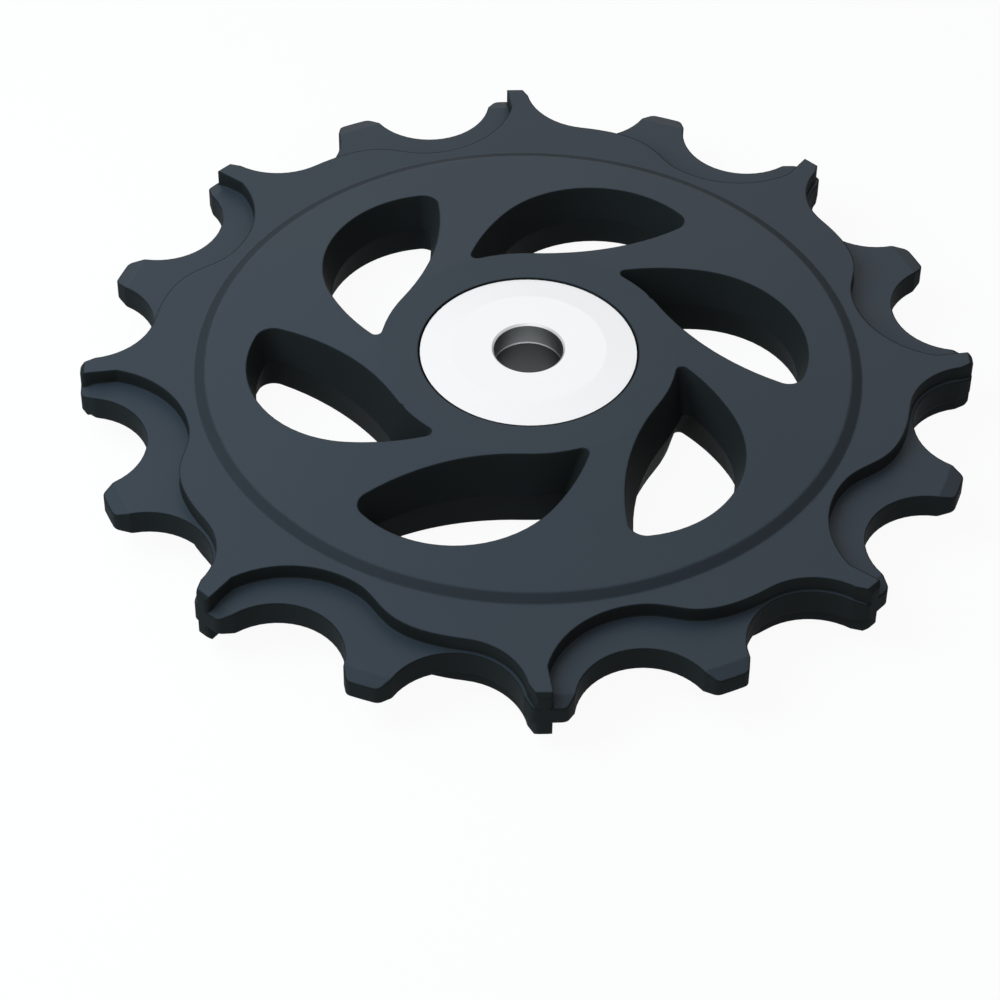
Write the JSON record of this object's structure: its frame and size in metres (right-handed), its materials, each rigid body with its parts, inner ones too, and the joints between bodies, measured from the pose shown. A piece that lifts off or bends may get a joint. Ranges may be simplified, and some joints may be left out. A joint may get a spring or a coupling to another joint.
{
  "type": "jockey wheel",
  "caption": "Narrow-wide toothed derailleur pulley with swirl windows, a sealed ball bearing and coned hub covers around a plain axle bore.",
  "frame": {"origin": "centre of the axle bore, in the wheel's mid-plane", "axes": "+Z along the spin axis, out of the face that the picture shows; +X to the picture's right; the wheel lies flat on its lower hub cover"},
  "size_m": [0.0644, 0.0644, 0.007],
  "materials": {
    "moulded_body": "fine satin moulded surface, dark grey",
    "cover_aluminium": "turned and silver anodised",
    "bearing_steel": "ground",
    "ball_steel": "polished",
    "sleeve_steel": "turned",
    "seal_rubber": "smooth, black",
    "cage_nylon": "moulded, natural colour"
  },
  "bodies": {
    "hub_core": {"bearing_inner_race": "bearing_steel", "hub_cover_upper": "cover_aluminium", "hub_cover_lower": "cover_aluminium", "centre_sleeve": "sleeve_steel"},
    "wheel": {"wheel_body": "moulded_body", "bearing_outer_race": "bearing_steel", "bearing_seal_upper": "seal_rubber", "bearing_seal_lower": "seal_rubber"},
    "cage": {"bearing_cage": "cage_nylon"},
    "ball_1": {"bearing_ball_1": "ball_steel"},
    "ball_2": {"bearing_ball_2": "ball_steel"},
    "ball_3": {"bearing_ball_3": "ball_steel"},
    "ball_4": {"bearing_ball_4": "ball_steel"},
    "ball_5": {"bearing_ball_5": "ball_steel"},
    "ball_6": {"bearing_ball_6": "ball_steel"},
    "ball_7": {"bearing_ball_7": "ball_steel"},
    "ball_8": {"bearing_ball_8": "ball_steel"}
  },
  "joints": [
    {"name": "wheel_spin", "type": "hinge", "parent": "hub_core", "child": "wheel", "pos_m": [0, 0, 0], "axis": [0, 0, 1], "continuous": true},
    {"name": "cage_orbit", "type": "hinge", "parent": "hub_core", "child": "cage", "pos_m": [0, 0, 0], "axis": [0, 0, 1], "continuous": true},
    {"name": "ball_1_roll", "type": "hinge", "parent": "cage", "child": "ball_1", "pos_m": [0.00475, 0, 0], "axis": [0, 0, 1], "continuous": true},
    {"name": "ball_2_roll", "type": "hinge", "parent": "cage", "child": "ball_2", "pos_m": [0.00336, 0.00336, 0], "axis": [0, 0, 1], "continuous": true},
    {"name": "ball_3_roll", "type": "hinge", "parent": "cage", "child": "ball_3", "pos_m": [0, 0.00475, 0], "axis": [0, 0, 1], "continuous": true},
    {"name": "ball_4_roll", "type": "hinge", "parent": "cage", "child": "ball_4", "pos_m": [-0.00336, 0.00336, 0], "axis": [0, 0, 1], "continuous": true},
    {"name": "ball_5_roll", "type": "hinge", "parent": "cage", "child": "ball_5", "pos_m": [-0.00475, 0, 0], "axis": [0, 0, 1], "continuous": true},
    {"name": "ball_6_roll", "type": "hinge", "parent": "cage", "child": "ball_6", "pos_m": [-0.00336, -0.00336, 0], "axis": [0, 0, 1], "continuous": true},
    {"name": "ball_7_roll", "type": "hinge", "parent": "cage", "child": "ball_7", "pos_m": [0, -0.00475, 0], "axis": [0, 0, 1], "continuous": true},
    {"name": "ball_8_roll", "type": "hinge", "parent": "cage", "child": "ball_8", "pos_m": [0.00336, -0.00336, 0], "axis": [0, 0, 1], "continuous": true}
  ],
  "couplings": [
    {"joint": "cage_orbit", "follows": "wheel_spin", "ratio": 0.60442},
    {"joint": "ball_1_roll", "follows": "wheel_spin", "ratio": 2.2897},
    {"joint": "ball_2_roll", "follows": "wheel_spin", "ratio": 2.2897},
    {"joint": "ball_3_roll", "follows": "wheel_spin", "ratio": 2.2897},
    {"joint": "ball_4_roll", "follows": "wheel_spin", "ratio": 2.2897},
    {"joint": "ball_5_roll", "follows": "wheel_spin", "ratio": 2.2897},
    {"joint": "ball_6_roll", "follows": "wheel_spin", "ratio": 2.2897},
    {"joint": "ball_7_roll", "follows": "wheel_spin", "ratio": 2.2897},
    {"joint": "ball_8_roll", "follows": "wheel_spin", "ratio": 2.2897}
  ]
}
